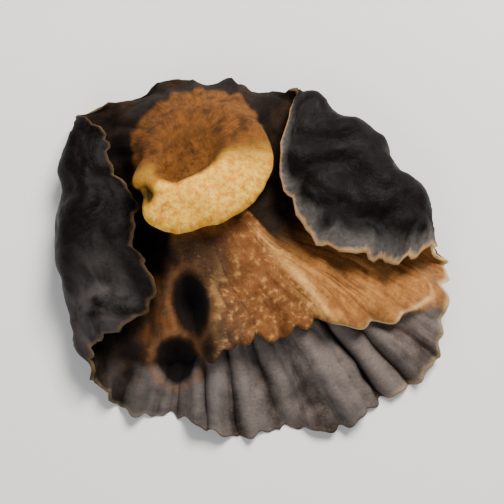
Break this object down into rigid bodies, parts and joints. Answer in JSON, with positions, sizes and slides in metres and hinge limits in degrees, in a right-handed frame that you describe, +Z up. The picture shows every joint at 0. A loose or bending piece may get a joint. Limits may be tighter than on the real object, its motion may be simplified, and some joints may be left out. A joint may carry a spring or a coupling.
{
  "type": "wood ear mushroom",
  "caption": "Dried wood ear mushroom: thin leathery cap with a rolled lip around its scar, a folded front over a pleated skirt, and two side flaps rolled back over it",
  "frame": {"origin": "on the surface it rests on, under the middle of its outline", "axes": "+X across the cap from the left flap to the right flap, its longest side; -Y towards the pleated skirt; +Z up, through the lip around the scar"},
  "size_m": [0.087, 0.0814, 0.0245],
  "materials": {
    "flesh": "dry matte velvet on the tan side, smooth and faintly glossy on the black side"
  },
  "bodies": {
    "root": {"wood_ear": "flesh"}
  },
  "joints": []
}
